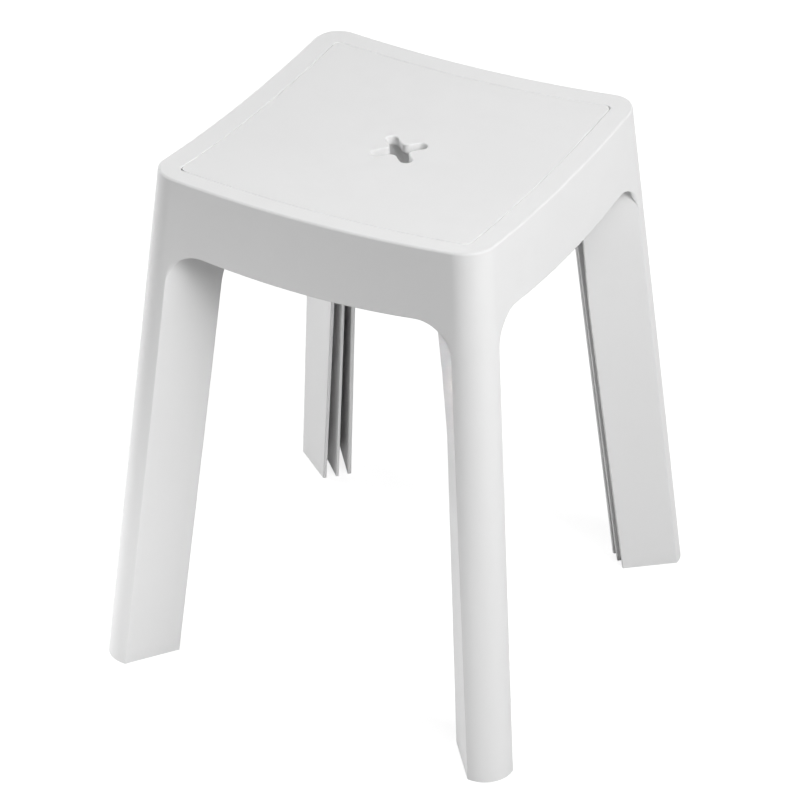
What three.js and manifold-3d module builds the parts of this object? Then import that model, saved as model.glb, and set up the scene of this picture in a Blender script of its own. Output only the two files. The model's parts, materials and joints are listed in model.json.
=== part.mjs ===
// Bathroom stool with a dished seat, a drain hole and four open channel legs.
// Millimetres, +Z up, floor at zero height, the front faces -Y.

import * as THREE from 'three';
import { mergeVertices } from 'three/addons/utils/BufferGeometryUtils.js';
import Module from 'manifold-3d';

const wasm = await Module();
wasm.setup();

// Overall sizes
const seatHeight = 450; // seat's corners above the floor
const footHalf = 187.6; // half the width over the legs at the floor
const seatHalf = 143.5; // half the width at the height of the seat's corners
const cornerRadius = 24.5; // outer corner of seat and legs, seen from above

// Dish of the seat
const centreDrop = 12.7; // middle of the seat below its corners
const edgeDrop = 6; // middle of each side below the corners

// Rim round the seat panel
const edgeRadius = 3.2; // rolled outer edge
const rimWidth = 17.5; // outer edge to the recess
const rimWall = 3.2;
const grooveWidth = 1; // open seam between rim and panel
const ledgeWidth = 12; // part of the ledge that lies under the panel
const ledgeWall = 2.6;

// Seat panel and its drain hole
const panelWall = 3;
const holeReach = 23.2; // hole's centre to the tip of an arm
const armHalf = 5.1; // half the width of an arm, and the radius of its tip
const armFillet = 5; // inner corner between two arms
const collarWall = 2.2;
const collarDepth = 8; // seat's surface to the lower end of the collar

// Hub of the body under the drain hole: the collar drops into it, and the ribs meet on it
const hubWall = 2.4;
const hubDepth = 52; // seat's surface to the lower end of the hub

// Aprons
const skinWall = 3; // aprons and outer skin of the legs
const apronDepth = 67.5; // seat's corners to the apron's lower edge in its middle
const archRise = 5.3; // rise of that edge from its middle to the seam
const archRadius = 29.5; // turn of that edge into the leg
const seamHalf = 92; // half the length of an apron, from seam to seam

// Legs
const legLand = 3.1; // flat strip between the rounded corner and the edge of a leg
const sideWall = 3.4;
const footDepth = 48.2; // side wall along the diagonal, at the floor
const headDepth = 50.2; // the same at the height of the seat
const footGape = 13.6; // half the distance over the side walls' inner edges, at the floor
const headGape = 8.5; // the same at the height of the seat
const rootInset = 0.4; // side wall's root, inside the edge of the skin
const flareDepth = 100; // from this far below the seat's corners the inner edges sweep in
const flareEnd = 50.4; // their distance from the middle at the height of the seat's corners

// Ribs
const ribWall = 2.7;
const ribSeam = 100; // meeting of leg rib and seat rib, from the middle along the diagonal
const crossRibEnd = 24; // depth of a cross rib below the seat, at the apron
const ribFoot = 2; // from the hub's lower end up to the ribs' lower edge

// Fits and fineness
const fitGap = 0.3; // between neighbours with curved or slanted faces
const overrun = 20; // reach of a cutting tool past what it cuts
const weldDistance = 0.0001; // points closer than this are one
const dishSteps = 14;
const sideSteps = 8;
const cornerSteps = 6;
const edgeSteps = 4;
const curveSteps = 6;
const flareSteps = 7;
const bisections = 40;

// Values worked out from the sizes above
const lean = (footHalf - seatHalf) / seatHeight; // outward slope of the faces, per height
const quarterTurn = Math.PI / 2;
const archHeight = seatHeight - apronDepth;
const legFace = cornerRadius + legLand; // width that a leg shows on each side of the stool
const flareStart = seatHeight - flareDepth;
const flareReach = (2 * seatHalf - legFace) / Math.SQRT2 - headDepth - flareEnd;
const topHalf = seatHalf - edgeRadius;
const topRadius = cornerRadius - edgeRadius;
const cornerShare = (topHalf - (1 - Math.SQRT1_2) * topRadius) / seatHalf;
const edgeRise = centreDrop - edgeDrop;
const cornerRise = (centreDrop - 2 * edgeRise * cornerShare ** 2) / cornerShare ** 4;
const recessDepth = panelWall + fitGap;
const rimDepth = recessDepth + ledgeWall;
const recessHalf = seatHalf - rimWidth;
const ledgeHalf = recessHalf - grooveWidth - ledgeWidth;
const ledgeRadius = ledgeWall; // inner corners of the ledge
const collarEnd = seatHeight - centreDrop - collarDepth;
const hubRadius = holeReach + collarWall + fitGap;
const hubEnd = seatHeight - centreDrop - hubDepth;

function halfWidth(z) {
  return footHalf - lean * z;
}

function dish(x, y) {
  const across = (x / seatHalf) ** 2;
  const along = (y / seatHalf) ** 2;
  return seatHeight - centreDrop + edgeRise * (across + along) + cornerRise * across * along;
}

// Solids and meshes

function warp(geometry, place) {
  const position = geometry.attributes.position;
  const point = new THREE.Vector3();
  for (let i = 0; i < position.count; i += 1) {
    place(point.fromBufferAttribute(position, i), i);
    position.setXYZ(i, point.x, point.y, point.z);
  }
  return geometry;
}

function toSolid(geometry) {
  geometry.deleteAttribute('normal');
  geometry.deleteAttribute('uv');
  const merged = mergeVertices(geometry, weldDistance);
  return new wasm.Manifold(new wasm.Mesh({
    numProp: 3,
    vertProperties: merged.attributes.position.array,
    triVerts: Uint32Array.from(merged.index.array),
  }));
}

function toGeometry(solid) {
  const mesh = solid.getMesh();
  const geometry = new THREE.BufferGeometry();
  geometry.setAttribute('position', new THREE.BufferAttribute(mesh.vertProperties, 3));
  geometry.setIndex(new THREE.BufferAttribute(mesh.triVerts, 1));
  geometry.computeVertexNormals();
  return geometry;
}

function prism(shape, bottom, top) {
  const geometry = new THREE.ExtrudeGeometry(shape, {
    depth: top - bottom,
    bevelEnabled: false,
    curveSegments: curveSteps,
  });
  return toSolid(geometry.translate(0, 0, bottom));
}

// A shape drawn as (distance, height), made a plate of the given thickness that stands along +X
function uprightPlate(shape, thickness) {
  const geometry = new THREE.ExtrudeGeometry(shape, {
    depth: thickness,
    bevelEnabled: false,
    curveSegments: curveSteps,
  });
  return geometry.translate(0, 0, -thickness / 2).rotateX(quarterTurn);
}

function roundedSquare(half, radius) {
  const shape = new THREE.Shape();
  const centre = half - radius;
  shape.absarc(centre, centre, radius, 0, quarterTurn);
  shape.absarc(-centre, centre, radius, quarterTurn, 2 * quarterTurn);
  shape.absarc(-centre, -centre, radius, 2 * quarterTurn, 3 * quarterTurn);
  shape.absarc(centre, -centre, radius, 3 * quarterTurn, 4 * quarterTurn);
  return shape;
}

// Four arms along the diagonals, with round tips; grow moves the outline outwards
function quatrefoil(grow) {
  const shape = new THREE.Shape();
  const filletReach = Math.SQRT2 * (armHalf + armFillet);
  for (let arm = 0; arm < 4; arm += 1) {
    const angle = (arm + 0.5) * quarterTurn;
    const tip = new THREE.Vector2(holeReach - armHalf, 0).rotateAround(new THREE.Vector2(), angle);
    shape.absarc(tip.x, tip.y, armHalf + grow, angle - quarterTurn, angle + quarterTurn);
    const between = angle + quarterTurn / 2;
    const inner = new THREE.Vector2(filletReach, 0).rotateAround(new THREE.Vector2(), between);
    shape.absarc(inner.x, inner.y, armFillet - grow, angle - quarterTurn, angle - 2 * quarterTurn, true);
  }
  return shape;
}

// A slab whose lower face runs parallel to the seat's surface, the given depth below it
function slabUnderSeat(depth, thickness) {
  const width = 2 * (seatHalf + overrun);
  const box = new THREE.BoxGeometry(width, width, thickness, dishSteps, dishSteps, 1);
  return toSolid(warp(box, (point) => {
    point.z += thickness / 2 + dish(point.x, point.y) - depth;
  }));
}

// Everything that rim and panel take up, with the fit gap under them
function ceiling() {
  const underRim = slabUnderSeat(rimDepth + fitGap, overrun);
  const underPanel = slabUnderSeat(panelWall + fitGap, overrun);
  const opening = roundedSquare(ledgeHalf - fitGap, ledgeRadius);
  const top = seatHeight + overrun;
  return underRim.subtract(prism(opening, collarEnd - overrun, top)).add(underPanel);
}

const ceilingTool = ceiling();

// Rim: one section carried round the seat

function ringStations() {
  const stations = [];
  for (let turn = 0; turn < 4; turn += 1) {
    for (let step = 0; step < sideSteps; step += 1) {
      stations.push({ turn, along: (2 * step) / sideSteps - 1, bend: 0 });
    }
    for (let step = 0; step < cornerSteps; step += 1) {
      stations.push({ turn, along: 1, bend: (step / cornerSteps) * quarterTurn });
    }
  }
  return stations;
}

function ringPoint(station, half, radius) {
  const straight = half - radius;
  const x = straight + radius * Math.cos(station.bend);
  const y = straight * station.along + radius * Math.sin(station.bend);
  return new THREE.Vector2(x, y).rotateAround(new THREE.Vector2(), station.turn * quarterTurn);
}

function rimSection() {
  const section = [{ inset: 0, drop: rimDepth, leans: 1 }];
  for (let step = 0; step <= edgeSteps; step += 1) {
    const angle = (step / edgeSteps) * quarterTurn;
    const inset = edgeRadius * (1 - Math.cos(angle));
    section.push({ inset, drop: edgeRadius * (1 - Math.sin(angle)), leans: 1 });
  }
  const ledgeInset = rimWidth + grooveWidth + ledgeWidth;
  section.push({ inset: rimWidth, drop: 0, leans: 0 });
  section.push({ inset: rimWidth, drop: recessDepth, leans: 0 });
  section.push({ inset: ledgeInset, drop: recessDepth, leans: 0 });
  section.push({ inset: ledgeInset, drop: rimDepth, leans: 0 });
  section.push({ inset: rimWidth - ledgeWall, drop: rimDepth, leans: 0 });
  section.push({ inset: rimWidth - ledgeWall, drop: rimWall, leans: 0 });
  section.push({ inset: skinWall, drop: rimWall, leans: 1 });
  section.push({ inset: skinWall, drop: rimDepth, leans: 1 });
  return section;
}

function rimSolid() {
  const section = rimSection();
  const stations = ringStations();
  const ring = new THREE.TorusGeometry(1, 1, section.length, stations.length);
  return toSolid(warp(ring, (point, index) => {
    const station = stations[(index % (stations.length + 1)) % stations.length];
    const { inset, drop, leans } = section[Math.floor(index / (stations.length + 1)) % section.length];
    const radius = Math.max(cornerRadius - inset, ledgeRadius);
    const flat = ringPoint(station, seatHalf - inset, radius);
    const z = dish(flat.x, flat.y) - drop;
    const spread = leans * lean * (seatHeight - z);
    const moved = ringPoint(station, seatHalf - inset + spread, radius);
    point.set(moved.x, moved.y, z);
  }));
}

// Seat panel and drain collar

function panelSolid() {
  const half = recessHalf - grooveWidth;
  const outline = roundedSquare(half, Math.max(cornerRadius - rimWidth - grooveWidth, ledgeRadius));
  const low = collarEnd - overrun;
  const top = seatHeight + overrun;
  const plate = slabUnderSeat(panelWall, panelWall).intersect(prism(outline, low, top));
  return plate.subtract(prism(quatrefoil(0), low, top));
}

function collarSolid() {
  const outline = quatrefoil(collarWall);
  outline.holes.push(quatrefoil(0));
  return prism(outline, collarEnd, seatHeight).subtract(ceilingTool);
}

// Hub, a round wall

function circle(radius) {
  return roundedSquare(radius, radius);
}

function hubSolid() {
  const outline = circle(hubRadius + hubWall);
  outline.holes.push(circle(hubRadius));
  return prism(outline, hubEnd, seatHeight).subtract(ceilingTool);
}

// Lower edge of an apron, with its turns into the legs

function lowerEdge(t) {
  return archHeight + archRise * (t / seamHalf) ** 2;
}

function legEdge(z) {
  return halfWidth(z) - legFace;
}

// Circle that touches the lower edge and the leg's edge
function archTurn() {
  const slant = Math.hypot(1, lean);
  let near = 0;
  let far = legEdge(archHeight);
  let turn;
  for (let step = 0; step < bisections; step += 1) {
    const touch = (near + far) / 2;
    const slope = (2 * archRise * touch) / seamHalf ** 2;
    const length = Math.hypot(1, slope);
    const centre = new THREE.Vector2(
      touch + (archRadius * slope) / length,
      lowerEdge(touch) - archRadius / length,
    );
    turn = { centre, touch, start: quarterTurn + Math.atan(slope), end: Math.atan(lean) };
    if ((legEdge(centre.y) - centre.x) / slant > archRadius) {
      near = touch;
    } else {
      far = touch;
    }
  }
  return turn;
}

// The opening under one apron, cut through the skin on the +Y side
function archTool() {
  const { centre, touch, start, end } = archTurn();
  const right = [new THREE.Vector2(legEdge(-overrun), -overrun)];
  const arc = new THREE.EllipseCurve(centre.x, centre.y, archRadius, archRadius, end, start);
  right.push(...arc.getPoints(curveSteps + curveSteps));
  for (let step = sideSteps - 1; step >= 0; step -= 1) {
    const t = (touch * step) / sideSteps;
    right.push(new THREE.Vector2(t, lowerEdge(t)));
  }
  const left = right.slice(0, -1).reverse().map((point) => new THREE.Vector2(-point.x, point.y));
  const reach = footHalf - seatHalf / 2;
  const plate = uprightPlate(new THREE.Shape([...right, ...left]), reach);
  return toSolid(plate.translate(0, reach / 2 + seatHalf / 2 + overrun, 0));
}

const archNorth = archTool();
const archEast = archNorth.rotate([0, 0, -90]);

function apronSolid() {
  const bottom = archHeight - archRadius;
  const box = new THREE.BoxGeometry(2 * seamHalf, skinWall, seatHeight - bottom);
  const plate = warp(box, (point) => {
    point.z += (seatHeight + bottom) / 2;
    point.y += halfWidth(point.z) - skinWall / 2;
  });
  return toSolid(plate).subtract(archNorth).subtract(ceilingTool);
}

// Leg at the corner between +X and +Y

function skinSolid() {
  const shape = new THREE.Shape();
  const inner = cornerRadius - skinWall;
  shape.moveTo(0, -footHalf);
  shape.absarc(-cornerRadius, -cornerRadius, cornerRadius, 0, quarterTurn);
  shape.lineTo(-footHalf, 0);
  shape.lineTo(-footHalf, -skinWall);
  shape.absarc(-cornerRadius, -cornerRadius, inner, quarterTurn, 0, true);
  shape.lineTo(-skinWall, -footHalf);
  const column = new THREE.ExtrudeGeometry(shape, {
    depth: seatHeight,
    bevelEnabled: false,
    curveSegments: curveSteps + curveSteps,
  });
  const leaning = warp(column, (point) => {
    const half = halfWidth(point.z);
    point.x += half;
    point.y += half;
  });
  const tall = seatHeight + overrun;
  const cornerBox = new THREE.BoxGeometry(footHalf, footHalf, 2 * tall);
  cornerBox.translate(seamHalf + footHalf / 2, seamHalf + footHalf / 2, 0);
  return toSolid(leaning).intersect(toSolid(cornerBox)).subtract(archNorth).subtract(archEast);
}

// Places on a leg, as distances along its diagonal and across it

function rootAlong(z) {
  return (2 * halfWidth(z) - legFace) / Math.SQRT2;
}

function flare(z) {
  return flareReach * (Math.max(z - flareStart, 0) / flareDepth) ** 2;
}

function innerEdgeAlong(z) {
  const depth = footDepth + (headDepth - footDepth) * (z / seatHeight);
  return rootAlong(z) - depth - flare(z);
}

function innerEdgeAcross(z) {
  return footGape + (headGape - footGape) * (z / seatHeight);
}

function wallRows() {
  const rows = [0, flareStart / 2, flareStart];
  for (let step = 1; step <= flareSteps; step += 1) {
    rows.push(flareStart + ((seatHeight - flareStart) * step) / flareSteps);
  }
  return rows;
}

function sideWallSolid(side) {
  const rows = wallRows();
  const box = new THREE.BoxGeometry(1, 1, 1, 2, 1, rows.length - 1);
  return toSolid(warp(box, (point) => {
    const z = rows[Math.round((point.z + 0.5) * (rows.length - 1))];
    const root = new THREE.Vector2(rootAlong(z), legFace / Math.SQRT2 - rootInset);
    const edge = new THREE.Vector2(innerEdgeAlong(z), innerEdgeAcross(z));
    const inwards = edge.clone().sub(root);
    const normal = new THREE.Vector2(inwards.y, -inwards.x).normalize();
    const place = root.addScaledVector(inwards, 0.5 - side * point.x);
    place.addScaledVector(normal, (0.5 - point.y) * -sideWall);
    place.y *= side;
    place.rotateAround(new THREE.Vector2(), quarterTurn / 2);
    point.set(place.x, place.y, z);
  }));
}

// Everything inside the faces of the stool, moved inwards by the given distance
function inside(inset) {
  const tall = seatHeight + overrun;
  const box = new THREE.BoxGeometry(2, 2, 2 * tall);
  return toSolid(warp(box, (point) => {
    const half = halfWidth(point.z) - inset;
    point.x *= half;
    point.y *= half;
  }));
}

function legSkinSolid() {
  const walls = sideWallSolid(1).add(sideWallSolid(-1)).subtract(inside(skinWall));
  return skinSolid().add(walls).subtract(ceilingTool);
}

function legWallSolid(side) {
  return sideWallSolid(side).intersect(inside(skinWall + fitGap)).subtract(ceilingTool);
}

// Ribs

function skinAlong(z) {
  const inner = cornerRadius - skinWall;
  return Math.SQRT2 * (halfWidth(z) - cornerRadius) + inner;
}

function flareMeetingHeight() {
  let low = flareStart;
  let high = seatHeight;
  for (let step = 0; step < bisections; step += 1) {
    const middle = (low + high) / 2;
    if (innerEdgeAlong(middle) > ribSeam) {
      low = middle;
    } else {
      high = middle;
    }
  }
  return low;
}

const meetingHeight = flareMeetingHeight();

function legRibSolid() {
  const shape = new THREE.Shape();
  shape.moveTo(innerEdgeAlong(0), 0);
  shape.lineTo(skinAlong(0) - fitGap, 0);
  shape.lineTo(skinAlong(seatHeight) - fitGap, seatHeight);
  shape.lineTo(ribSeam, seatHeight);
  for (let step = flareSteps; step >= 0; step -= 1) {
    const z = flareStart + ((meetingHeight - flareStart) * step) / flareSteps;
    shape.lineTo(innerEdgeAlong(z), z);
  }
  const plate = uprightPlate(shape, ribWall).rotateZ(quarterTurn / 2);
  return toSolid(plate).subtract(ceilingTool);
}

const hubTool = prism(circle(hubRadius + hubWall + fitGap), hubEnd - overrun, seatHeight);

function seatRibSolid() {
  const shape = new THREE.Shape();
  shape.moveTo(hubRadius, hubEnd + ribFoot);
  shape.lineTo(ribSeam - fitGap, meetingHeight);
  shape.lineTo(ribSeam - fitGap, seatHeight);
  shape.lineTo(hubRadius, seatHeight);
  const plate = uprightPlate(shape, ribWall).rotateZ(quarterTurn / 2);
  return toSolid(plate).subtract(ceilingTool).subtract(hubTool);
}

function crossRibSolid() {
  const shape = new THREE.Shape();
  const inner = skinWall + fitGap;
  const low = seatHeight - edgeDrop - crossRibEnd;
  shape.moveTo(hubRadius, hubEnd + ribFoot);
  shape.lineTo(halfWidth(low) - inner, low);
  shape.lineTo(halfWidth(seatHeight) - inner, seatHeight);
  shape.lineTo(hubRadius, seatHeight);
  return toSolid(uprightPlate(shape, ribWall)).subtract(ceilingTool).subtract(hubTool);
}

// Assembly

const colours = { body: 0xe9e9e9, panel: 0xe6e6e6 };
const finish = { roughness: 0.42, metalness: 0 };

const group = new THREE.Group();

function place(name, geometry, color, quarterTurns) {
  const material = new THREE.MeshStandardMaterial({ color, ...finish });
  const mesh = new THREE.Mesh(geometry, material);
  mesh.name = name;
  mesh.rotation.z = quarterTurns * quarterTurn;
  group.add(mesh);
}

place('seat_panel', toGeometry(panelSolid()), colours.panel, 0);
place('drain_collar', toGeometry(collarSolid()), colours.panel, 0);
place('seat_hub', toGeometry(hubSolid()), colours.body, 0);
place('seat_rim', toGeometry(rimSolid()), colours.body, 0);

const corners = ['back_right', 'back_left', 'front_left', 'front_right'];
const legGeometry = toGeometry(legSkinSolid());
const wallGeometries = { a: toGeometry(legWallSolid(1)), b: toGeometry(legWallSolid(-1)) };
const legRibGeometry = toGeometry(legRibSolid());
const seatRibGeometry = toGeometry(seatRibSolid());
corners.forEach((corner, turns) => {
  place(`leg_${corner}`, legGeometry.clone(), colours.body, turns);
  Object.entries(wallGeometries).forEach(([label, wall]) => {
    place(`leg_wall_${label}_${corner}`, wall.clone(), colours.body, turns);
  });
  place(`leg_rib_${corner}`, legRibGeometry.clone(), colours.body, turns);
  place(`seat_rib_${corner}`, seatRibGeometry.clone(), colours.body, turns);
});

const apronGeometry = toGeometry(apronSolid());
['back', 'left', 'front', 'right'].forEach((side, turns) => {
  place(`apron_${side}`, apronGeometry.clone(), colours.body, turns);
});

const crossRibGeometry = toGeometry(crossRibSolid());
['right', 'back', 'left', 'front'].forEach((side, turns) => {
  place(`cross_rib_${side}`, crossRibGeometry.clone(), colours.body, turns);
});

export default group;
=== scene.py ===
# Looks of the bathroom stool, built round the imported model. Metres, +Z up, the front faces -Y.

import json
import math

import bmesh
import bpy
from mathutils import Matrix, Vector

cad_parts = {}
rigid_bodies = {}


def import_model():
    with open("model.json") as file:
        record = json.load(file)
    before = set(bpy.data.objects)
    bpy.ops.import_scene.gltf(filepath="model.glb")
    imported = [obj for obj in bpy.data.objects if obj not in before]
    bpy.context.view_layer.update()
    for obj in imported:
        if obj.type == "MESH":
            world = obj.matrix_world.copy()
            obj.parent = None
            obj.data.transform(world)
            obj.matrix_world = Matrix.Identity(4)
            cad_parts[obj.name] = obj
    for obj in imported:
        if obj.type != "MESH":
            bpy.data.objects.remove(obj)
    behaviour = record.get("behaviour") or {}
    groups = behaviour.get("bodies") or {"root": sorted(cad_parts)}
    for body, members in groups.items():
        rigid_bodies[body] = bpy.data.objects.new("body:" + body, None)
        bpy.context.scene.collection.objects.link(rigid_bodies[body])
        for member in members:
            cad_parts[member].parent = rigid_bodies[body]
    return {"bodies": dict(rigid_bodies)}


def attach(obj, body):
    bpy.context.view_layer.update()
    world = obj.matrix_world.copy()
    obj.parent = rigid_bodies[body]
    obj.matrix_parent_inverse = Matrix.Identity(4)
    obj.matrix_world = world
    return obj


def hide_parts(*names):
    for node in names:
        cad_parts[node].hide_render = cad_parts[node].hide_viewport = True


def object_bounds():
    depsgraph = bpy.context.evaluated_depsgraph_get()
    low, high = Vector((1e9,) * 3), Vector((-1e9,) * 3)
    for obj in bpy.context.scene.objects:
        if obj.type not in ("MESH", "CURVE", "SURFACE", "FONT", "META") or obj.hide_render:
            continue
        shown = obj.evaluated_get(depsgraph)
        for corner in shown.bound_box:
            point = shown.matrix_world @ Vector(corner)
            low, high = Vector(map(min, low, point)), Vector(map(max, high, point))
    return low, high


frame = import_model()
cad_low, cad_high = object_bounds()
BODY = next(iter(frame["bodies"]))
CORNERS = ("back_right", "back_left", "front_left", "front_right")
SIDES = ("back", "left", "front", "right")
QUARTER = math.pi / 2

# Overall sizes; height and width over the feet come from the frame
SEAT_HEIGHT = cad_high.z
FOOT_HALF = cad_high.x
SEAT_HALF = 0.1435
CORNER_RADIUS = 0.0245
LEAN = (FOOT_HALF - SEAT_HALF) / SEAT_HEIGHT

# Dish of the seat
CENTRE_DROP = 0.0127
EDGE_DROP = 0.006

# Rim and the recess for the panel
EDGE_RADIUS = 0.0021
RIM_WIDTH = 0.0181
RIM_WALL = 0.0032
RECESS_DEPTH = 0.0033
RECESS_RADIUS = 0.0045
LEDGE_HALF = 0.113
LEDGE_WALL = 0.0026
LEDGE_ROUND = 0.0006
SEAM_ROUND = 0.0009
RIM_DEPTH = RECESS_DEPTH + LEDGE_WALL

# Panel and drain hole
PANEL_WALL = 0.003
PANEL_GAP = 0.0003
PANEL_RADIUS = 0.0065
PANEL_ROUND = 0.0009
HOLE_REACH = 0.0232
ARM_HALF = 0.0051
ARM_FILLET = 0.005
HOLE_ROUND = 0.0012
COLLAR_WALL = 0.0022
COLLAR_DEPTH = 0.008
COLLAR_BEVEL = COLLAR_WALL / 4

# Skin of aprons and legs
SKIN_WALL = 0.003
LIP_ROUND = 0.001
LIP_INNER_ROUND = 0.0014
BLEND_ROUND = 0.0044
BLEND_REACH = 0.012
BLEND_PLACE = 0.014
ARCH_HEIGHT = SEAT_HEIGHT - 0.0675
ARCH_RISE = 0.0053
ARCH_HALF = 0.092
ARCH_RADIUS = 0.0295
LEG_FACE = CORNER_RADIUS + 0.0031

# Side walls
SIDE_WALL = 0.0034
FOOT_DEPTH = 0.0482
HEAD_DEPTH = 0.0502
FOOT_GAPE = 0.0136
HEAD_GAPE = 0.0085
FLARE_DEPTH = 0.1
FLARE_END = 0.0504
SWEEP_START = 0.27
SWEEP_END = 0.375
SWEEP_SHARE = 0.37
WALL_ROUND = 0.0009

# Ribs and hub
RIB_WALL = 0.0027
RIB_ROUND = 0.0006
RIB_SEAM = 0.1
RIB_FOOT = 0.002
HUB_GAP = 0.0003
HUB_WALL = 0.0024
HUB_DEPTH = 0.052
CROSS_RIB_END = 0.024
OVERLAP = 0.0005

# Plastic; a noise is given as (scale, detail)
IOR = 1.49
SPECULAR_LEVEL = 0.22
NOISE_RANGE = (0.3, 0.7)
FLOW_NOISE = (7, 3)
FLOW_STRETCH = (1, 1, 0.45)
FLOW_SHADE = 0.975
FINE_FLOW_NOISE = (42, 2)
FINE_FLOW_SHARE = 0.6
WEAR_NOISE = (160, 4)
WEAR_RANGE = (0.2, 1)
WEAR_HEIGHT = 0.014
WEAR_ROUGHNESS = 0.15
SCRATCH_NOISE = (90, 4)
SCRATCH_STRETCHES = ((9, 0.5, 3), (0.5, 9, 3))
SCRATCH_ROUGHNESS = 0.08
GLOSS_NOISE = (26, 4)
GLOSS_CHANGE = 0.03
GRAIN_NOISE = (1800, 2)
GRAIN_BUMP = 0.12
BUMP_DISTANCE = 0.0001

# Floor; it fades into white between two distances from the stool's axis
FLOOR_REACH = 8
FLOOR_BOUNCE = (0.33, 0.33, 0.33, 1)
FLOOR_SHADED = (0.3, 0.3, 0.3, 1)
GLOW_DISTANCES = (1.1, 3.5)
GLOW_STRENGTHS = (0.84, 1)

# Fineness
MERGE_DISTANCE = 2e-6
SHORTEST_EDGE = 1e-6
SHARP_DEGREES = 40
FACE_WEIGHT = 100
BISECTIONS = 40
CORNER_STEPS = 20
FLAT_STEPS = 5
APRON_STEPS = 26
APRON_ROWS = 5
TURN_STEPS = 18
EDGE_STEPS = 8
RIM_STEPS = 5
SEAM_STEPS = 3
ROUND_STEPS = 4
LIP_STEPS = 2
LIP_INNER_STEPS = 3
LEG_SHARES = (0, 0.25, 0.5, 0.75, 0.9, 0.94, 0.96, 0.975, 0.99)
WALL_SHARES = (0, 0.2, 0.4, 0.6, 0.8, 0.93)
WALL_ROWS = 16
LEDGE_NEARNESS = 0.006
RIB_ROUND_STEPS = 2
RIB_LEG_ROWS = 6
RIB_FLARE_ROWS = 14
RIB_HEAD_ROWS = 8
RIB_SEAT_ROWS = 12
HUB_STEPS = 72
HUB_ROUND_STEPS = 3
ARM_STEPS = 8
ARM_SIDE_STEPS = 4
ARM_FILLET_STEPS = 5
HOLE_ROUND_STEPS = 5
PANEL_CORNER_STEPS = 6
PANEL_RINGS = 30
PANEL_LOWER_RINGS = 12
RING_GROWTH = 1.3

# Shapes that follow from the sizes
EDGE_RISE = CENTRE_DROP - EDGE_DROP
TOP_CORNER = (1 - math.sqrt(0.5)) * (CORNER_RADIUS - EDGE_RADIUS)
CORNER_SHARE = (SEAT_HALF - EDGE_RADIUS - TOP_CORNER) / SEAT_HALF
CORNER_RISE = (CENTRE_DROP - 2 * EDGE_RISE * CORNER_SHARE ** 2) / CORNER_SHARE ** 4
COLLAR_END = SEAT_HEIGHT - CENTRE_DROP - COLLAR_DEPTH
HUB_RADIUS = HOLE_REACH + COLLAR_WALL + HUB_GAP
HUB_END = SEAT_HEIGHT - CENTRE_DROP - HUB_DEPTH
HUB_JOINT = (HUB_RADIUS + HUB_WALL / 2, HUB_END + RIB_FOOT)
FLARE_START = SEAT_HEIGHT - FLARE_DEPTH
FLARE_REACH = (2 * SEAT_HALF - LEG_FACE) / math.sqrt(2) - HEAD_DEPTH - FLARE_END


def half_width(z):
    return FOOT_HALF - LEAN * z


def straight(z):
    return half_width(z) - CORNER_RADIUS


def dish(x, y):
    across = (x / SEAT_HALF) ** 2
    along = (y / SEAT_HALF) ** 2
    return SEAT_HEIGHT - CENTRE_DROP + EDGE_RISE * (across + along) + CORNER_RISE * across * along


def turned(point, turns):
    """The point after quarter turns about the stool's axis."""
    x, y, z = point
    for _ in range(turns % 4):
        x, y = -y, x
    return (x, y, z)


def between(start, end, share):
    return tuple(a + (b - a) * share for a, b in zip(start, end))


def smooth(share):
    """The share from 0 to 1, with a soft start and end."""
    return share ** 2 * (3 - 2 * share)


def search(low, high, is_below):
    """The place between low and high where is_below turns false."""
    for _ in range(BISECTIONS):
        middle = (low + high) / 2
        if is_below(middle):
            low = middle
        else:
            high = middle
    return low


def arc(centre_x, centre_y, radius, start, end, steps):
    """Points on an arc, from start to end in degrees."""
    points = []
    for i in range(steps + 1):
        angle = math.radians(start + (end - start) * i / steps)
        points.append((centre_x + radius * math.cos(angle), centre_y + radius * math.sin(angle)))
    return points


# Meshes

class Builder:
    """Collects points and faces, and joins points that coincide."""

    def __init__(self):
        self.points = []
        self.faces = []

    def add(self, points):
        first = len(self.points)
        self.points.extend(points)
        return list(range(first, first + len(points)))

    def grid(self, rows):
        """Faces between rows of points of the same length."""
        ids = [self.add(row) for row in rows]
        for lower, upper in zip(ids, ids[1:]):
            for i in range(len(lower) - 1):
                self.faces.append((lower[i], lower[i + 1], upper[i + 1], upper[i]))

    def polygon(self, points):
        self.faces.append(tuple(self.add(points)))

    def piece(self, name, material, slot, nodes):
        mesh = bpy.data.meshes.new(name)
        mesh.from_pydata(self.points, [], self.faces)
        shape = bmesh.new()
        shape.from_mesh(mesh)
        bmesh.ops.remove_doubles(shape, verts=shape.verts, dist=MERGE_DISTANCE)
        bmesh.ops.dissolve_degenerate(shape, edges=shape.edges, dist=SHORTEST_EDGE)
        bmesh.ops.recalc_face_normals(shape, faces=shape.faces)
        shape.to_mesh(mesh)
        shape.free()
        mesh.shade_smooth()
        mesh.set_sharp_from_angle(angle=math.radians(SHARP_DEGREES))
        mesh.materials.append(material)
        piece = bpy.data.objects.new(name, mesh)
        bpy.context.scene.collection.objects.link(piece)
        even = piece.modifiers.new("even_shading", "WEIGHTED_NORMAL")
        even.keep_sharp = True
        even.weight = FACE_WEIGHT
        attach(piece, BODY)
        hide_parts(*nodes)


# Stations round the seat: (quarter turn, place along the side from -1 to 1, bend round the corner)

def ring_point(station, half, radius):
    turn, along, bend = station
    reach = half - radius
    x = reach + radius * math.cos(bend)
    y = reach * along + radius * math.sin(bend)
    return turned((x, y, 0), turn)[:2]


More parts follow.
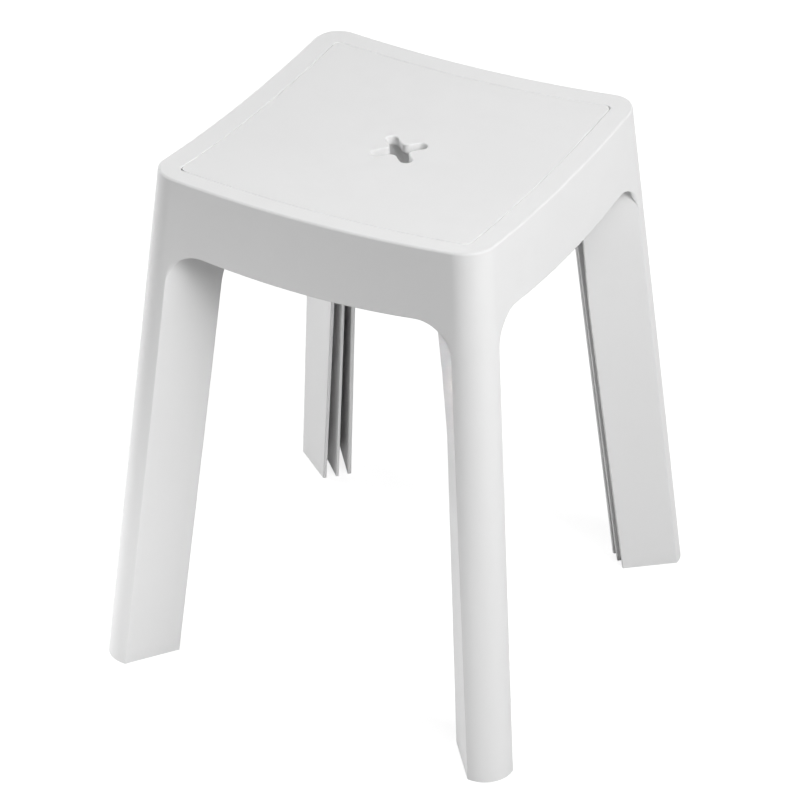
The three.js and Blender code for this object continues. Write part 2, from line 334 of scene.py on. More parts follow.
def bend_radius(inset):
    """Radius of the rim's bend: it follows the rolled edge, then tightens towards the recess."""
    if inset < EDGE_RADIUS:
        return CORNER_RADIUS - inset
    share = min((inset - EDGE_RADIUS) / (RIM_WIDTH - EDGE_RADIUS), 1)
    return CORNER_RADIUS - EDGE_RADIUS + (RECESS_RADIUS - CORNER_RADIUS + EDGE_RADIUS) * share


def rim_point(station, inset, drop, leans):
    """A point of the rim; leans is the share of the sides' lean that it takes part in."""
    radius = bend_radius(inset)
    x, y = ring_point(station, SEAT_HALF - inset, radius)
    z = dish(x, y) - drop
    growth = leans * LEAN * (SEAT_HEIGHT - z)
    x, y = ring_point(station, SEAT_HALF - inset + growth, radius)
    return (x, y, z)


def lower_edge(t):
    return ARCH_HEIGHT + ARCH_RISE * (t / ARCH_HALF) ** 2


def leg_edge(z):
    return half_width(z) - LEG_FACE


def arch_turn():
    """Circle that touches the lower edge and the leg's edge.

    Its centre, the place along the lower edge where it touches, and its start and end angles."""
    slant = math.hypot(1, LEAN)

    def circle(touch):
        slope = 2 * ARCH_RISE * touch / ARCH_HALF ** 2
        length = math.hypot(1, slope)
        centre = (touch + ARCH_RADIUS * slope / length, lower_edge(touch) - ARCH_RADIUS / length)
        return centre, slope

    def is_free(touch):
        centre, _ = circle(touch)
        return (leg_edge(centre[1]) - centre[0]) / slant > ARCH_RADIUS

    touch = search(0, leg_edge(ARCH_HEIGHT), is_free)
    centre, slope = circle(touch)
    return centre, touch, QUARTER + math.atan(slope), math.atan(LEAN)


TURN_CENTRE, TOUCH, TURN_START, TURN_END = arch_turn()
TURN_FOOT = TURN_CENTRE[1] + ARCH_RADIUS * math.sin(TURN_END)
SEAM_ALONG = TOUCH / straight(lower_edge(TOUCH))


def ring_stations():
    apron = [SEAM_ALONG * (2 * i / APRON_STEPS - 1) for i in range(APRON_STEPS + 1)]
    flat = [SEAM_ALONG + (1 - SEAM_ALONG) * i / FLAT_STEPS for i in range(1, FLAT_STEPS + 1)]
    alongs = [-a for a in reversed(flat)] + apron + flat
    stations = []
    for turn in range(4):
        stations += [(turn, along, 0) for along in alongs[:-1]]
        stations += [(turn, 1, QUARTER * i / CORNER_STEPS) for i in range(CORNER_STEPS)]
    return stations


# Rim

def rim_section():
    """Points as (inset from the outer edge, drop below the seat's surface, share of the lean)."""
    rolled = arc(EDGE_RADIUS, EDGE_RADIUS, EDGE_RADIUS, 180, 270, EDGE_STEPS)
    flat = RIM_WIDTH - SEAM_ROUND - EDGE_RADIUS
    seam = arc(RIM_WIDTH - SEAM_ROUND, SEAM_ROUND, SEAM_ROUND, 270, 360, SEAM_STEPS)
    ledge = SEAT_HALF - LEDGE_HALF
    below = ((RIM_WIDTH, RECESS_DEPTH), (ledge - LEDGE_ROUND, RECESS_DEPTH),
             (ledge, RECESS_DEPTH + LEDGE_ROUND), (ledge, RIM_DEPTH - LEDGE_ROUND),
             (ledge - LEDGE_ROUND, RIM_DEPTH), (RIM_WIDTH - LEDGE_WALL, RIM_DEPTH),
             (RIM_WIDTH - LEDGE_WALL, RIM_WALL))
    section = [(0, RIM_DEPTH, 1)]
    section += [(inset, drop, 1) for inset, drop in rolled]
    for i in range(1, RIM_STEPS):
        section.append((EDGE_RADIUS + flat * i / RIM_STEPS, 0, 1 - i / RIM_STEPS))
    section += [(inset, drop, 0) for inset, drop in (*seam, *below)]
    return section + [(SKIN_WALL, RIM_WALL, 1), (SKIN_WALL, RIM_DEPTH, 1)]


def make_rim(material):
    stations = ring_stations()
    stations.append(stations[0])
    rows = [[rim_point(station, *point) for station in stations] for point in rim_section()]
    builder = Builder()
    builder.grid(rows + rows[:1])
    builder.piece("seat_rim_skin", material, "body_plastic", ["seat_rim"])


# Course of the side walls; places as (along the leg's diagonal, across it)

def root_along(z):
    return (2 * half_width(z) - LEG_FACE) / math.sqrt(2)


def inner_depth(z):
    """Depth of a leg's rib and side walls along its diagonal."""
    flare = FLARE_REACH * (max(z - FLARE_START, 0) / FLARE_DEPTH) ** 2
    return FOOT_DEPTH + (HEAD_DEPTH - FOOT_DEPTH) * z / SEAT_HEIGHT + flare


def rib_along(z):
    return root_along(z) - inner_depth(z)


def inner_edge(z):
    """Free edge of a side wall.

    Towards its top it sweeps out to the plane of the wall under the seat."""
    gape = FOOT_GAPE + (HEAD_GAPE - FOOT_GAPE) * z / SEAT_HEIGHT
    corner = LEG_FACE / math.sqrt(2)
    top_gape = corner - (corner - HEAD_GAPE) * inner_depth(z) / inner_depth(SEAT_HEIGHT)
    turn = min(max((z - SWEEP_START) / (SWEEP_END - SWEEP_START), 0), 1)
    sweep = (top_gape - gape) * smooth(turn)
    return (rib_along(z) + sweep * SWEEP_SHARE, gape + sweep)


def wall_turning(z):
    """Angle between the leg's outer face and its side wall."""
    z = min(z, FLARE_START)
    along, across = inner_edge(z)
    return QUARTER / 2 + math.atan2(LEG_FACE / math.sqrt(2) - across, root_along(z) - along)


# Skin of the aprons and legs; a point is given as (place along the side, height, depth)

def edge_profile(radius, turning):
    """Rounded edge of the skin as (offset towards the opening, depth).

    The side wall leaves it where the first arc ends."""
    tangent = math.tan(turning / 2)
    centre = LIP_ROUND * (tangent - 1) - radius * tangent
    end = math.degrees(turning) - 90
    outer = arc(centre, radius, radius, -90, end, ROUND_STEPS)
    x, depth = outer[-1]
    centre = (x - LIP_ROUND * math.sin(turning), depth + LIP_ROUND * math.cos(turning))
    tight = arc(*centre, LIP_ROUND, end, 0, LIP_STEPS)[1:]
    x, depth = tight[-1]
    inner = min(LIP_INNER_ROUND, SKIN_WALL - depth)
    return outer + tight + arc(x - inner, SKIN_WALL - inner, inner, 0, 90, LIP_INNER_STEPS)


def edge_radius(travel):
    """Radius of the skin's edge, which grows to a blend where the arch turns into the leg.

    travel is the way along the edge from where the arch turns off the leg."""
    nearness = max(0, 1 - abs(travel - BLEND_PLACE) / BLEND_REACH)
    return LIP_ROUND + (BLEND_ROUND - LIP_ROUND) * smooth(nearness)


def skin_point(t, z, depth, turn, mirror):
    """A point on the +Y side, or mirrored at the corner's diagonal, after quarter turns."""
    point = (t, half_width(z) - depth, z)
    if mirror:
        point = (point[1], point[0], z)
    return turned(point, turn)


def apron_column(share):
    """The apron's section on the +Y side at a share of its length: outer face, lip, inner face."""
    outer_top = rim_point((1, -SEAM_ALONG * share, 0), 0, RIM_DEPTH, 1)
    inner_top = rim_point((1, -SEAM_ALONG * share, 0), SKIN_WALL, RIM_DEPTH, 1)
    t = TOUCH * share
    slope = 2 * ARCH_RISE * t / ARCH_HALF ** 2
    length = math.hypot(1, slope)
    lip = [skin_point(t + x * slope / length, lower_edge(t) - x / length, depth, 0, False)
           for x, depth in edge_profile(LIP_ROUND, wall_turning(FLARE_START))]
    down = [between(outer_top, lip[0], j / APRON_ROWS) for j in range(APRON_ROWS)]
    up = [between(lip[-1], inner_top, j / APRON_ROWS) for j in range(1, APRON_ROWS + 1)]
    return down, lip, up


def make_apron(turn, side, material):
    columns = []
    for i in range(APRON_STEPS + 1):
        down, lip, up = apron_column(2 * i / APRON_STEPS - 1)
        columns.append([turned(point, turn) for point in down + lip + up])
    builder = Builder()
    builder.grid([column + column[:1] for column in columns])
    builder.polygon(columns[0])
    builder.polygon(columns[-1])
    builder.piece("apron_skin_" + side, material, "body_plastic", ["apron_" + side])


def leg_edge_rows():
    """Edge of a leg from the floor up and round the arch.

    Rows are (place along the side, height, way into the opening)."""
    slant = math.hypot(1, LEAN)
    rows = []
    for share in LEG_SHARES:
        z = TURN_FOOT * share
        rows.append((leg_edge(z), z, (-1 / slant, -LEAN / slant)))
    for i in range(TURN_STEPS + 1):
        angle = TURN_END + (TURN_START - TURN_END) * i / TURN_STEPS
        way = (-math.cos(angle), -math.sin(angle))
        rows.append((TURN_CENTRE[0] - ARCH_RADIUS * way[0],
                     TURN_CENTRE[1] - ARCH_RADIUS * way[1], way))
    return rows


def edge_travels(places):
    """Way along the leg's edge to each place, from where the arch turns off the leg."""
    first = len(LEG_SHARES)
    travels = [z - TURN_FOOT for _, z in places[:first + 1]]
    for before, after in zip(places[first:], places[first + 1:]):
        travels.append(travels[-1] + math.hypot(after[0] - before[0], after[1] - before[1]))
    return travels


def leg_profiles():
    """The leg's edge from the floor up, round the arch, then up the seam with the apron.

    Each row holds the points of the edge, and the row's height at the corner's diagonal."""
    edges = leg_edge_rows()
    down, _, up = apron_column(1)
    seam = [((outer[0], outer[2]), (inner[0], inner[2]))
            for outer, inner in zip(reversed(down), up)]
    places = [(t, z) for t, z, _ in edges] + [outer for outer, _ in seam]
    travels = edge_travels(places)
    profiles = []
    for k, ((t, z, way), travel) in enumerate(zip(edges, travels)):
        section = edge_profile(edge_radius(travel), wall_turning(z))
        profiles.append([(t + way[0] * x, z + way[1] * x if k else 0, depth)
                         for x, depth in section])
    steps = len(profiles[0]) - 1
    for outer, inner in seam:
        profiles.append([(*between(outer, inner, j / steps), SKIN_WALL * j / steps)
                         for j in range(steps + 1)])
    corner_top = rim_point((0, 1, QUARTER / 2), 0, RIM_DEPTH, 1)[2]
    rows = []
    for k, ((_, z), travel) in enumerate(zip(places, travels)):
        if k > len(LEG_SHARES):
            z = TURN_FOOT + (corner_top - TURN_FOOT) * travel / travels[-1]
        rows.append((profiles[k], z))
    return rows


def sheet_row(edge, diagonal_z, depth, turn, mirror):
    """One row of the leg's skin, from the corner's diagonal to its edge."""
    edge_t, edge_z = edge[:2]
    radius = CORNER_RADIUS - depth
    arc_length = CORNER_RADIUS * QUARTER / 2
    flat_length = straight(edge_z) - edge_t
    half_steps = CORNER_STEPS // 2
    row = []
    for i in range(half_steps + 1):
        bend = QUARTER / 2 * (1 + i / half_steps)
        share = arc_length * (i / half_steps) / (arc_length + flat_length)
        z = diagonal_z + (edge_z - diagonal_z) * share
        x, y = straight(z) + radius * math.cos(bend), straight(z) + radius * math.sin(bend)
        row.append(turned((y, x, z) if mirror else (x, y, z), turn))
    for i in range(1, FLAT_STEPS):
        share = (arc_length + flat_length * i / FLAT_STEPS) / (arc_length + flat_length)
        z = diagonal_z + (edge_z - diagonal_z) * share
        t = straight(z) + (edge_t - straight(edge_z)) * i / FLAT_STEPS
        row.append(skin_point(t, z, depth, turn, mirror))
    row.append(skin_point(edge_t, edge_z, depth, turn, mirror))
    return row


def top_row(inset, turn, mirror):
    """The leg's uppermost row, which is the lower end of the rim's skirt."""
    half_steps = CORNER_STEPS // 2
    stations = [(0, 1, QUARTER / 2 * (1 + i / half_steps)) for i in range(half_steps + 1)]
    for i in range(1, FLAT_STEPS + 1):
        stations.append((1, -1 - (SEAM_ALONG - 1) * i / FLAT_STEPS, 0))
    row = []
    for station in stations:
        x, y, z = rim_point(station, inset, RIM_DEPTH, 1)
        row.append(turned((y, x, z) if mirror else (x, y, z), turn))
    return row


def leg_half(builder, turn, mirror):
    profiles = leg_profiles()
    outer_rows, inner_rows, strips = [], [], []
    for profile, corner_z in profiles[:-1]:
        outer_rows.append(sheet_row(profile[0], corner_z, 0, turn, mirror))
        inner_rows.append(sheet_row(profile[-1], corner_z, SKIN_WALL, turn, mirror))
    outer_rows.append(top_row(0, turn, mirror))
    inner_rows.append(top_row(SKIN_WALL, turn, mirror))
    for (profile, _), outer_row, inner_row in zip(profiles, outer_rows, inner_rows):
        middle = [skin_point(*point, turn, mirror) for point in profile[1:-1]]
        strips.append([outer_row[-1], *middle, inner_row[-1]])
    for rows in (outer_rows, strips, inner_rows):
        builder.grid(rows)
    for end in (0, -1):
        builder.grid([outer_rows[end], inner_rows[end]])
        builder.polygon(strips[end])


def make_leg(turn, corner, material):
    builder = Builder()
    for mirror in (False, True):
        leg_half(builder, turn, mirror)
    builder.piece("leg_skin_" + corner, material, "body_plastic", ["leg_" + corner])


# Side walls

def wall_section(flats):
    """Closed loop of a side wall: (share of its width, offset past that, place in thickness)."""
    free_end = arc(-WALL_ROUND, WALL_ROUND, WALL_ROUND, -90, 0, ROUND_STEPS)
    free_end += arc(-WALL_ROUND, SIDE_WALL - WALL_ROUND, WALL_ROUND, 0, 90, ROUND_STEPS)
    loop = [(share, 0, 0) for share in flats]
    loop += [(1, x, y) for x, y in free_end]
    loop += [(share, 0, SIDE_WALL) for share in reversed(flats)]
    return loop


def wall_place(z, share, offset, thickness):
    """A place on a side wall, which starts where it leaves the rounded edge of the skin."""
    end = inner_edge(z)
    corner = (root_along(z), LEG_FACE / math.sqrt(2))
    length = math.hypot(end[0] - corner[0], end[1] - corner[1])
    inwards = ((end[0] - corner[0]) / length, (end[1] - corner[1]) / length)
    tangent = math.tan(wall_turning(z) / 2)
    skipped = edge_radius(min(z - TURN_FOOT, 0)) * tangent
    shift = LIP_ROUND * (tangent - 1) / math.sqrt(2)
    reach = skipped + share * (length - skipped) + offset
    along = corner[0] - shift + inwards[0] * reach - inwards[1] * thickness
    across = corner[1] + shift + inwards[1] * reach + inwards[0] * thickness
    return ((along - across) / math.sqrt(2), (along + across) / math.sqrt(2))


def ceiling(x, y):
    """Underside of rim ledge and panel."""
    return dish(x, y) - (PANEL_WALL if max(abs(x), abs(y)) < LEDGE_HALF else RIM_DEPTH)


def wall_top(share, offset, thickness):
    def is_under(z):
        return z < ceiling(*wall_place(z, share, offset, thickness))
    return search(FLARE_START, SEAT_HEIGHT, is_under) + OVERLAP


def ledge_share():
    """Share of the wall's width at which its upper end leaves the ledge."""
    def is_under_ledge(share):
        x, y = wall_place(ceiling(LEDGE_HALF, LEDGE_HALF), share, 0, SIDE_WALL / 2)
        return max(abs(x), abs(y)) > LEDGE_HALF
    return search(0, 1, is_under_ledge)


def make_wall(turn, corner, label, material):
    crossing = ledge_share()
    flats = sorted([*WALL_SHARES, crossing - LEDGE_NEARNESS, crossing + LEDGE_NEARNESS])
    section = wall_section(flats)
    tops = [wall_top(*point) for point in section]
    levels = [[share * TURN_FOOT] * len(section) for share in (*LEG_SHARES, 1)]
    for k in range(1, WALL_ROWS + 1):
        levels.append([TURN_FOOT + (top - TURN_FOOT) * k / WALL_ROWS for top in tops])
    rows = [[(*wall_place(z, *point), z) for point, z in zip(section, level)] for level in levels]
    if label == "b":
        rows = [[(y, x, z) for x, y, z in row] for row in rows]
    rows = [[turned(point, turn) for point in row] for row in rows]
    builder = Builder()
    builder.grid([row + row[:1] for row in rows])
    half = len(section) // 2
    for row in (rows[0], rows[-1]):
        builder.grid([row[:half], list(reversed(row[half:]))])
    name = "leg_side_wall_%s_%s" % (label, corner)
    builder.piece(name, material, "body_plastic", ["leg_wall_%s_%s" % (label, corner)])


# Ribs: upright plates between a free edge and what carries them; places as (distance from the
# stool's axis, height)

def make_plate(name, nodes, angle, free_edge, carrier, material):
    """free_edge and carrier hold one place for each station along the plate."""
    rounded = arc(RIB_ROUND, RIB_WALL / 2 - RIB_ROUND, RIB_ROUND, 90, 180, RIB_ROUND_STEPS)
    rows = []
    for k, (edge, held) in enumerate(zip(free_edge, carrier)):
        before = next((place for place in reversed(free_edge[:k]) if place != edge), edge)
        after = next((place for place in free_edge[k:] if place != edge), edge)
        length = math.hypot(after[0] - before[0], after[1] - before[1])
        way = ((after[1] - before[1]) / length, (before[0] - after[0]) / length)
        if way[0] * (held[0] - edge[0]) + way[1] * (held[1] - edge[1]) < 0:
            way = (-way[0], -way[1])
        half = [(*held, RIB_WALL / 2)]
        half += [(edge[0] + way[0] * x, edge[1] + way[1] * x, side) for x, side in rounded]
        section = [(r, z, -side) for r, z, side in half] + half[::-1]
        rows.append([(r * math.cos(angle) - side * math.sin(angle),
                      r * math.sin(angle) + side * math.cos(angle), z) for r, z, side in section])
    builder = Builder()
    builder.grid([row + row[:1] for row in rows])
    for row in (rows[0], rows[-1]):
        builder.grid([row[:len(half)], list(reversed(row[len(half):]))])
    builder.piece(name, material, "body_plastic", nodes)


def ceiling_along(r, angle):
    return ceiling(r * math.cos(angle), r * math.sin(angle)) + OVERLAP


def skin_along(z):
    return math.sqrt(2) * straight(z) + CORNER_RADIUS - SKIN_WALL + OVERLAP


def make_diagonal_rib(turn, corner, material):
    """One plate from the floor up the leg, then under the seat inwards to the hub."""
    angle = QUARTER * (turn + 0.5)
    meeting = search(FLARE_START, SEAT_HEIGHT, lambda z: rib_along(z) > RIB_SEAM)
    heights = [FLARE_START * i / RIB_LEG_ROWS for i in range(RIB_LEG_ROWS)]
    for i in range(RIB_FLARE_ROWS + 1):
        heights.append(FLARE_START + (meeting - FLARE_START) * i / RIB_FLARE_ROWS)
    free_edge = [(rib_along(z), z) for z in heights]
    carrier = [(skin_along(z), z) for z in heights]
    top = search(meeting, SEAT_HEIGHT, lambda z: z < ceiling_along(skin_along(z), angle))
    for i in range(1, RIB_HEAD_ROWS + 1):
        free_edge.append(free_edge[-1])
        r = skin_along(top) + (RIB_SEAM - skin_along(top)) * i / RIB_HEAD_ROWS
        carrier.append((r, ceiling_along(r, angle)))
    for i in range(1, RIB_SEAT_ROWS + 1):
        r, z = between((RIB_SEAM, meeting), HUB_JOINT, i / RIB_SEAT_ROWS)
        free_edge.append((r, z))
        carrier.append((r, ceiling_along(r, angle)))
    nodes = ["leg_rib_" + corner, "seat_rib_" + corner]
    make_plate("diagonal_rib_" + corner, nodes, angle, free_edge, carrier, material)


def make_cross_rib(turn, side, material):
    angle = QUARTER * (turn + 1)
    low = SEAT_HEIGHT - EDGE_DROP - CROSS_RIB_END
    end = (half_width(low) - SKIN_WALL + OVERLAP, low)
    free_edge = [between(HUB_JOINT, end, i / RIB_SEAT_ROWS) for i in range(RIB_SEAT_ROWS + 1)]
    carrier = [(r, ceiling_along(r, angle)) for r, _ in free_edge]
    nodes = ["cross_rib_" + side]
    make_plate("straight_rib_" + side, nodes, angle, free_edge, carrier, material)


def make_hub(material):
    """Round wall under the middle of the seat, where the ribs meet."""
    outer = HUB_RADIUS + HUB_WALL
    centre_z = HUB_END + RIB_ROUND
    section = arc(HUB_RADIUS + RIB_ROUND, centre_z, RIB_ROUND, 180, 270, HUB_ROUND_STEPS)
    section += arc(outer - RIB_ROUND, centre_z, RIB_ROUND, 270, 360, HUB_ROUND_STEPS)
    top = SEAT_HEIGHT - CENTRE_DROP - PANEL_WALL + OVERLAP
    section += [(outer, top), (HUB_RADIUS, top)]
    columns = []
    for i in range(HUB_STEPS + 1):
        angle = 4 * QUARTER * (i % HUB_STEPS) / HUB_STEPS
        columns.append([(r * math.cos(angle), r * math.sin(angle), z) for r, z in section])
    builder = Builder()
    builder.grid([column + column[:1] for column in columns])
    builder.piece("hub_under_seat", material, "body_plastic", ["seat_hub"])


# Seat panel with its drain hole and collar

def hole_eighth(grow):
    """One eighth of the hole's outline, from an arm's tip to the middle between two arms."""
    inner = ARM_HALF + ARM_FILLET
    tip = arc(HOLE_REACH - ARM_HALF, 0, ARM_HALF + grow, 0, 90, ARM_STEPS)
    side_end = (inner, ARM_HALF + grow)
    side = [between(tip[-1], side_end, i / ARM_SIDE_STEPS) for i in range(1, ARM_SIDE_STEPS)]
    return tip + side + arc(inner, inner, ARM_FILLET - grow, -90, -135, ARM_FILLET_STEPS)


def panel_eighth(half, radius):
    """One eighth of the panel's outline, from a corner to the middle of a side.

    It has as many points as the hole's."""
    centre = half - radius
    points = arc(centre, centre, radius, 45, 90, PANEL_CORNER_STEPS)
    flats = len(hole_eighth(0)) - len(points)
    points += [(centre * (1 - i / flats), half) for i in range(1, flats + 1)]
    return [((x + y) / math.sqrt(2), (y - x) / math.sqrt(2)) for x, y in points]


def all_round(eighth):
    """The whole outline from one eighth that starts on a diagonal."""
    quarter = [(x, -y) for x, y in reversed(eighth[1:])] + eighth[:-1]
    outline = []
    for turn in range(4):
        angle = QUARTER * (turn + 0.5)
        cos, sin = math.cos(angle), math.sin(angle)
        outline += [(x * cos - y * sin, x * sin + y * cos) for x, y in quarter]
    return outline


def make_panel(material):
    half = SEAT_HALF - RIM_WIDTH - PANEL_GAP
    rows = []

    def ring(outline, drop):
        rows.append([(x, y, dish(x, y) - drop) for x, y in outline])

    def level(grow, z):
        rows.append([(x, y, z) for x, y in all_round(hole_eighth(grow))])

    def face(inner, outer, steps, drop, inwards):
        for i in range(1, steps):
            share = ((steps - i if inwards else i) / steps) ** RING_GROWTH
            ring([between(a, b, share) for a, b in zip(inner, outer)], drop)

    edge = all_round(panel_eighth(half, PANEL_RADIUS))
    ring(edge, PANEL_WALL)
    for x, drop in arc(half - PANEL_ROUND, PANEL_ROUND, PANEL_ROUND, 0, -90, ROUND_STEPS):
        ring(all_round(panel_eighth(x, PANEL_RADIUS - half + x)), drop)
    top_edge = all_round(panel_eighth(half - PANEL_ROUND, PANEL_RADIUS - PANEL_ROUND))
    face(all_round(hole_eighth(HOLE_ROUND)), top_edge, PANEL_RINGS, 0, True)
    for grow, drop in arc(HOLE_ROUND, HOLE_ROUND, HOLE_ROUND, -90, -180, HOLE_ROUND_STEPS):
        ring(all_round(hole_eighth(grow)), drop)
    level(0, COLLAR_END + COLLAR_BEVEL)
    level(COLLAR_BEVEL, COLLAR_END)
    level(COLLAR_WALL - COLLAR_BEVEL, COLLAR_END)
    level(COLLAR_WALL, COLLAR_END + COLLAR_BEVEL)
    collar = all_round(hole_eighth(COLLAR_WALL))
    ring(collar, PANEL_WALL)
    face(collar, edge, PANEL_LOWER_RINGS, PANEL_WALL, False)
    builder = Builder()
    builder.grid([row + row[:1] for row in rows + rows[:1]])
    nodes = ["seat_panel", "drain_collar"]
    builder.piece("seat_panel_skin", material, "panel_plastic", nodes)


# Materials

def set_inputs(tree, node, inputs):
    """Inputs by name or number; each is a value, or a socket of another node."""
    for name, value in inputs.items():
        if isinstance(value, bpy.types.NodeSocket):
            tree.links.new(value, node.inputs[name])
        else:
            node.inputs[name].default_value = value


def add_node(tree, kind, inputs=None, **settings):
    node = tree.nodes.new(kind)
    for name, value in settings.items():
        setattr(node, name, value)
    set_inputs(tree, node, inputs or {})
    return node


def remap(tree, value, source, target):
    """The value moved from one range to another, and kept inside the second."""
    ranges = {"Value": value, "From Min": source[0], "From Max": source[1],
              "To Min": target[0], "To Max": target[1]}
    return add_node(tree, "ShaderNodeMapRange", ranges).outputs["Result"]


def combine(tree, operation, first, second):
    node = add_node(tree, "ShaderNodeMath", {0: first, 1: second}, operation=operation)
    return node.outputs["Value"]


def add_noise(tree, noise, target, stretch=(1, 1, 1)):
    """Noise in the object's own coordinates, spread over the target range."""
    scale, detail = noise
    place = add_node(tree, "ShaderNodeTexCoord").outputs["Object"]
    mapped = add_node(tree, "ShaderNodeMapping", {"Vector": place, "Scale": stretch})
    inputs = {"Vector": mapped.outputs["Vector"], "Scale": scale, "Detail": detail}
    texture = add_node(tree, "ShaderNodeTexNoise", inputs)
    return remap(tree, texture.outputs["Fac"], NOISE_RANGE, target)


def add_bump(tree, strength, inputs, invert=False):
    inputs = {**inputs, "Strength": strength, "Distance": BUMP_DISTANCE}
    return add_node(tree, "ShaderNodeBump", inputs, invert=invert).outputs["Normal"]


def plastic(name, white, roughness, scratch_bump):
    """Satin white plastic: soft flow marks, moulded grain, hair scratches, and wear at the feet."""
    material = bpy.data.materials.new(name)
    material.use_nodes = True
    tree = material.node_tree

    place = add_node(tree, "ShaderNodeTexCoord").outputs["Object"]
    height = add_node(tree, "ShaderNodeSeparateXYZ", {"Vector": place}).outputs["Z"]
    near_floor = remap(tree, height, (0, WEAR_HEIGHT), (1, 0))
    wear = combine(tree, "MULTIPLY", near_floor, add_noise(tree, WEAR_NOISE, WEAR_RANGE))

    flow = add_noise(tree, FLOW_NOISE, (0, 1), FLOW_STRETCH)
    fine_flow = add_noise(tree, FINE_FLOW_NOISE, (0, FINE_FLOW_SHARE))
    marks = combine(tree, "ADD", combine(tree, "MAXIMUM", flow, fine_flow), wear)
    dull = white * FLOW_SHADE
    colours = {"Factor": marks, "A": (white, white, white, 1), "B": (dull, dull, dull, 1)}
    tint = add_node(tree, "ShaderNodeMix", colours, data_type="RGBA", clamp_factor=True)

    across, along = [add_noise(tree, SCRATCH_NOISE, (0, 1), stretch)
                     for stretch in SCRATCH_STRETCHES]
    scratches = combine(tree, "MULTIPLY", across, along)
    gloss = add_noise(tree, GLOSS_NOISE, (roughness - GLOSS_CHANGE, roughness + GLOSS_CHANGE))
    for cause, amount in ((scratches, SCRATCH_ROUGHNESS), (wear, WEAR_ROUGHNESS)):
        gloss = combine(tree, "ADD", gloss, combine(tree, "MULTIPLY", cause, amount))

    grain = add_bump(tree, GRAIN_BUMP, {"Height": add_noise(tree, GRAIN_NOISE, (0, 1))})
    scratched = add_bump(tree, scratch_bump, {"Height": scratches, "Normal": grain}, invert=True)

    surface = {"Base Color": tint.outputs["Result"], "Roughness": gloss, "Normal": scratched,
               "IOR": IOR, "Specular IOR Level": SPECULAR_LEVEL}
    set_inputs(tree, tree.nodes["Principled BSDF"], surface)
    return material


# Stage

def seen_by(tree, *kinds):
    """1 for rays of the named kinds, 0 for others."""
    path = add_node(tree, "ShaderNodeLightPath")
    seen = path.outputs[kinds[0]]
    for kind in kinds[1:]:
        seen = combine(tree, "MAXIMUM", seen, path.outputs[kind])
    return seen


def floor_material():
    """Dark grey to light on its way to the stool, near white where it is seen, clear from below."""
    material = bpy.data.materials.new("floor")
    material.use_nodes = True
    tree = material.node_tree
    tree.nodes.clear()
    bounce = add_node(tree, "ShaderNodeBsdfDiffuse", {"Color": FLOOR_BOUNCE})
    shaded = add_node(tree, "ShaderNodeBsdfDiffuse", {"Color": FLOOR_SHADED})
    place = add_node(tree, "ShaderNodeTexCoord").outputs["Object"]
    distance = add_node(tree, "ShaderNodeVectorMath", {0: place}, operation="LENGTH")
    strength = remap(tree, distance.outputs["Value"], GLOW_DISTANCES, GLOW_STRENGTHS)
    glow = add_node(tree, "ShaderNodeEmission", {"Strength": strength})
    shown = add_node(tree, "ShaderNodeAddShader", {0: shaded.outputs[0], 1: glow.outputs[0]})
    seen = seen_by(tree, "Is Camera Ray", "Is Glossy Ray")
    sides = {0: seen, 1: bounce.outputs[0], 2: shown.outputs[0]}
    above = add_node(tree, "ShaderNodeMixShader", sides)
    below = add_node(tree, "ShaderNodeNewGeometry").outputs["Backfacing"]
    clear = add_node(tree, "ShaderNodeBsdfTransparent")
    sides = {0: below, 1: above.outputs[0], 2: clear.outputs[0]}
    both = add_node(tree, "ShaderNodeMixShader", sides)
    add_node(tree, "ShaderNodeOutputMaterial", {"Surface": both.outputs[0]})
    return material


def make_floor():
    low, high = -FLOOR_REACH, FLOOR_REACH
    mesh = bpy.data.meshes.new("floor")
    corners = [(low, low, 0), (high, low, 0), (high, high, 0), (low, high, 0)]
    mesh.from_pydata(corners, [], [(0, 1, 2, 3)])
    mesh.materials.append(floor_material())
    floor = bpy.data.objects.new("floor", mesh)
    floor.location.z = -OVERLAP / 2
    bpy.context.scene.collection.objects.link(floor)


def make_world():
    """White where it is seen or mirrored; it gives the stool no other light."""
    world = bpy.data.worlds.new("studio")
    bpy.context.scene.world = world
    world.use_nodes = True
    tree = world.node_tree
    seen = seen_by(tree, "Is Camera Ray", "Is Transmission Ray", "Is Glossy Ray")
    set_inputs(tree, tree.nodes["Background"], {"Color": (1, 1, 1, 1), "Strength": seen})


def make_lamp(name, place, aim, size, power, mirrored=False, beam_degrees=180):
    """A soft box that isn't seen itself, and is mirrored in the plastic only where asked."""
    light = bpy.data.lights.new(name, "AREA")
    light.spread = math.radians(beam_degrees)
    light.shape = "RECTANGLE"
    light.size, light.size_y = size
    light.energy = power
    lamp = bpy.data.objects.new(name, light)
    lamp.location = place
    lamp.rotation_euler = (Vector(aim) - Vector(place)).to_track_quat("-Z", "Y").to_euler()
    lamp.visible_camera = False
    lamp.visible_glossy = mirrored
    bpy.context.scene.collection.objects.link(lamp)


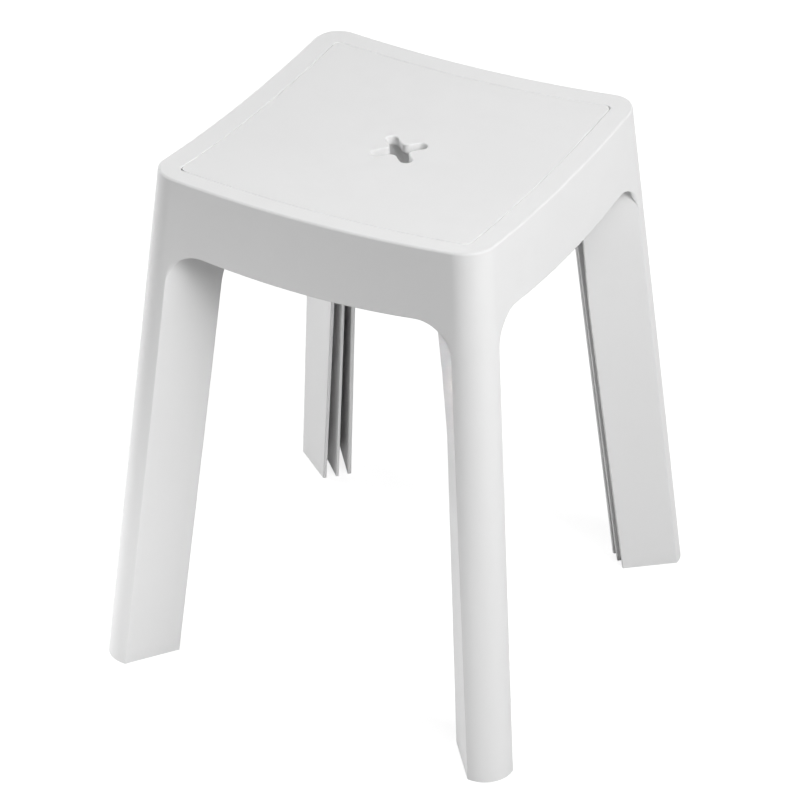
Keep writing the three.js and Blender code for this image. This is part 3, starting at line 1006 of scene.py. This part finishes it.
def make_camera():
    """The photo's view. Direction, distance and focal length come from the stool's outline."""
    azimuth, elevation, roll = math.radians(28.23), math.radians(32.726), math.radians(-0.185)
    distance, target_height, view_end = 2.6213, 0.20354, 50
    focal_pixels, image_pixels, sensor = 3181.5, 800, 36
    right = Vector((math.cos(azimuth), math.sin(azimuth), 0))
    back = Vector((math.sin(azimuth) * math.cos(elevation),
                   -math.cos(azimuth) * math.cos(elevation), math.sin(elevation)))
    up = back.cross(right)
    rolled_right = right * math.cos(roll) + up * math.sin(roll)
    rolled_up = up * math.cos(roll) - right * math.sin(roll)
    data = bpy.data.cameras.new("camera")
    data.sensor_width = sensor
    data.lens = focal_pixels * sensor / image_pixels
    data.clip_end = view_end
    camera = bpy.data.objects.new("camera", data)
    camera.location = Vector((0, 0, target_height)) + back * distance
    camera.rotation_euler = Matrix((rolled_right, rolled_up, back)).transposed().to_euler()
    bpy.context.scene.collection.objects.link(camera)
    bpy.context.scene.camera = camera


bpy.context.scene.view_settings.view_transform = "Standard"
make_camera()
make_floor()
make_world()

MIDDLE = (0, 0, 0.25)
LEFT_LEG = (-0.16, -0.15, 0.1)
FRONT_ARCH = (0.13, -0.15, 0.375)
make_lamp("overhead", (0, 0, 3.4), MIDDLE, size=(2, 2), power=4)
make_lamp("back", (-0.4, 3, 1), MIDDLE, size=(1.6, 1.6), power=28)
make_lamp("key_high", (1.6, -1.1, 2.7), MIDDLE, size=(1.6, 1.6), power=38)
make_lamp("key", (2.6, -0.6, 2), MIDDLE, size=(1.8, 1.8), power=63, mirrored=True)
make_lamp("left", (-3, 0.3, 1.3), MIDDLE, size=(1.6, 1.6), power=80)
make_lamp("front_left_low", (-0.35, -0.55, 0.06), LEFT_LEG, size=(0.25, 0.25), power=1.08)
make_lamp("front_low", (0.1, -0.5, 0.08), LEFT_LEG, size=(0.25, 0.12), power=0.18)
make_lamp("under_seat", (-1, 0.12, 0.22), FRONT_ARCH, size=(0.1, 0.1), power=0.018, beam_degrees=8)

body = plastic("body_plastic", white=0.86, roughness=0.45, scratch_bump=0.04)
panel = plastic("panel_plastic", white=0.85, roughness=0.47, scratch_bump=0.08)
make_rim(body)
make_panel(panel)
make_hub(body)
for turn, corner in enumerate(CORNERS):
    make_leg(turn, corner, body)
    for label in ("a", "b"):
        make_wall(turn, corner, label, body)
    make_diagonal_rib(turn, corner, body)
for turn, side in enumerate(SIDES):
    make_apron(turn, side, body)
    make_cross_rib(turn, side, body)
